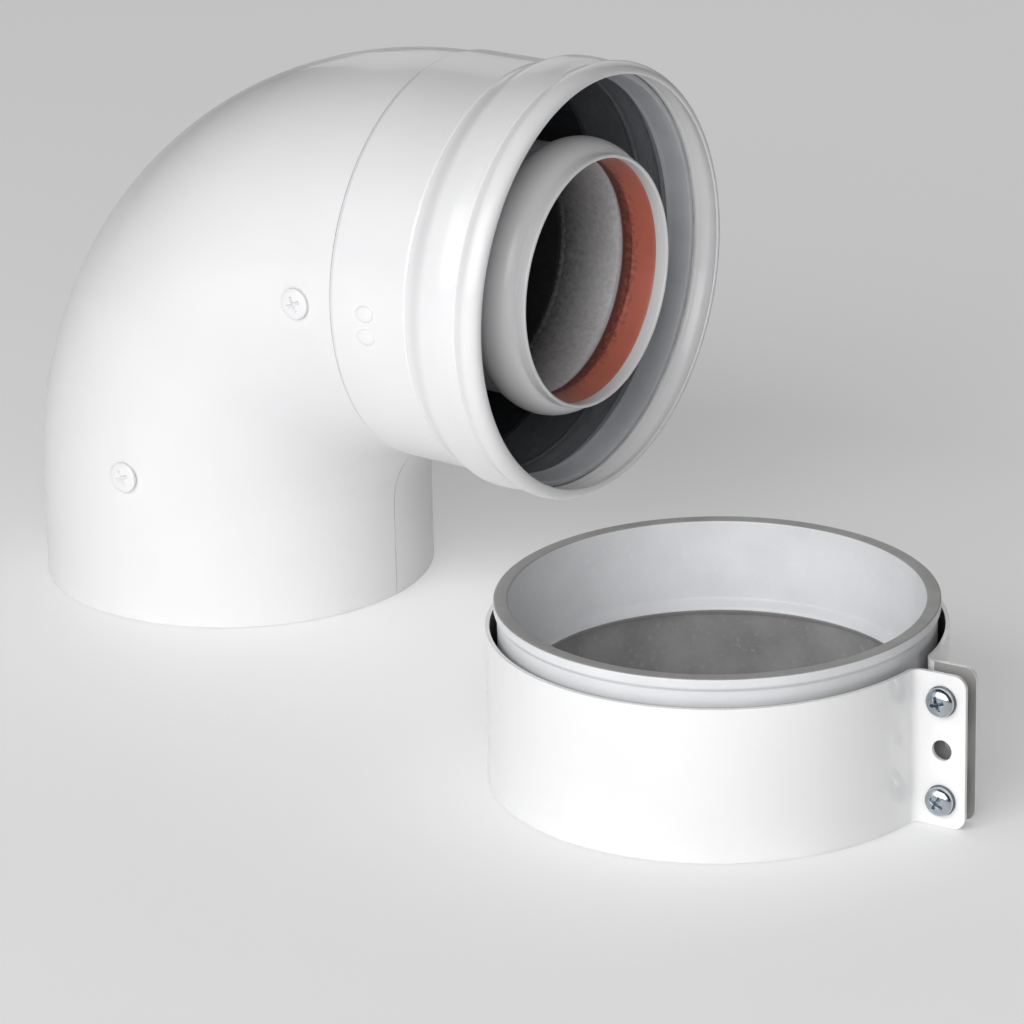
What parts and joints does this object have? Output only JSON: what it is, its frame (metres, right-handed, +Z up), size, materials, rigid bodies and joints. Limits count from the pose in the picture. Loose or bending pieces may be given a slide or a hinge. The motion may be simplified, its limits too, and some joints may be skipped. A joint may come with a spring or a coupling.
{
  "type": "flue elbow",
  "caption": "Coaxial 90 degree flue elbow: beaded outer socket, sealed inner pipe, plain spigot, and a loose screw clamp with a rubber sleeve.",
  "frame": {"origin": "centre of the outer spigot's end face, on the surface that the elbow stands on", "axes": "+Z up along the spigot, +X along the socket towards its mouth, -Y the side seen in front"},
  "size_m": [0.2974, 0.1587, 0.1482],
  "materials": {
    "white_paint": "gloss",
    "band_paint": "gloss",
    "bare_metal": "satin",
    "red_silicone": "satin",
    "grey_rubber": "matte",
    "sleeve_rubber": "satin",
    "zinc": "satin"
  },
  "bodies": {
    "elbow": {"outer_shell_front": "white_paint", "outer_shell_back": "white_paint", "socket_collar": "white_paint", "air_seal": "grey_rubber", "inner_bend": "bare_metal", "inner_socket": "white_paint", "flue_seal": "red_silicone", "post_front_upper": "bare_metal", "post_front_lower": "bare_metal", "post_back_upper": "bare_metal", "post_back_lower": "bare_metal", "side_screw_front_upper": "white_paint", "side_screw_front_lower": "white_paint", "side_screw_back_upper": "white_paint", "side_screw_back_lower": "white_paint"},
    "clamp": {"clamp_band": "band_paint", "clamp_nut_upper": "zinc", "clamp_nut_lower": "zinc"},
    "sleeve": {"clamp_sleeve": "sleeve_rubber"},
    "upper_washer": {"clamp_washer_upper": "zinc"},
    "upper_screw": {"clamp_screw_upper": "zinc"},
    "lower_washer": {"clamp_washer_lower": "zinc"},
    "lower_screw": {"clamp_screw_lower": "zinc"}
  },
  "joints": [
    {"name": "clamp_lift", "type": "slide", "parent": "elbow", "child": "clamp", "axis": [0, 0, 1], "range_m": [0, 0.12]},
    {"name": "sleeve_slide", "type": "slide", "parent": "clamp", "child": "sleeve", "axis": [0, 0, 1], "range_m": [0, 0.06]},
    {"name": "upper_screw_travel", "type": "slide", "parent": "clamp", "child": "upper_washer", "axis": [0.0523, -0.9986, 0], "range_m": [0, 0.0126]},
    {"name": "upper_screw_turn", "type": "hinge", "parent": "upper_washer", "child": "upper_screw", "pos_m": [0.24145, -0.05231, 0.03095], "axis": [0.0523, -0.9986, 0], "range_deg": [0, 6481]},
    {"name": "lower_screw_travel", "type": "slide", "parent": "clamp", "child": "lower_washer", "axis": [0.0523, -0.9986, 0], "range_m": [0, 0.0126]},
    {"name": "lower_screw_turn", "type": "hinge", "parent": "lower_washer", "child": "lower_screw", "pos_m": [0.24145, -0.05231, 0.00655], "axis": [0.0523, -0.9986, 0], "range_deg": [0, 6481]}
  ],
  "couplings": [
    {"joint": "upper_screw_turn", "follows": "upper_screw_travel", "rad_per_m": 8976},
    {"joint": "lower_screw_turn", "follows": "lower_screw_travel", "rad_per_m": 8976}
  ]
}
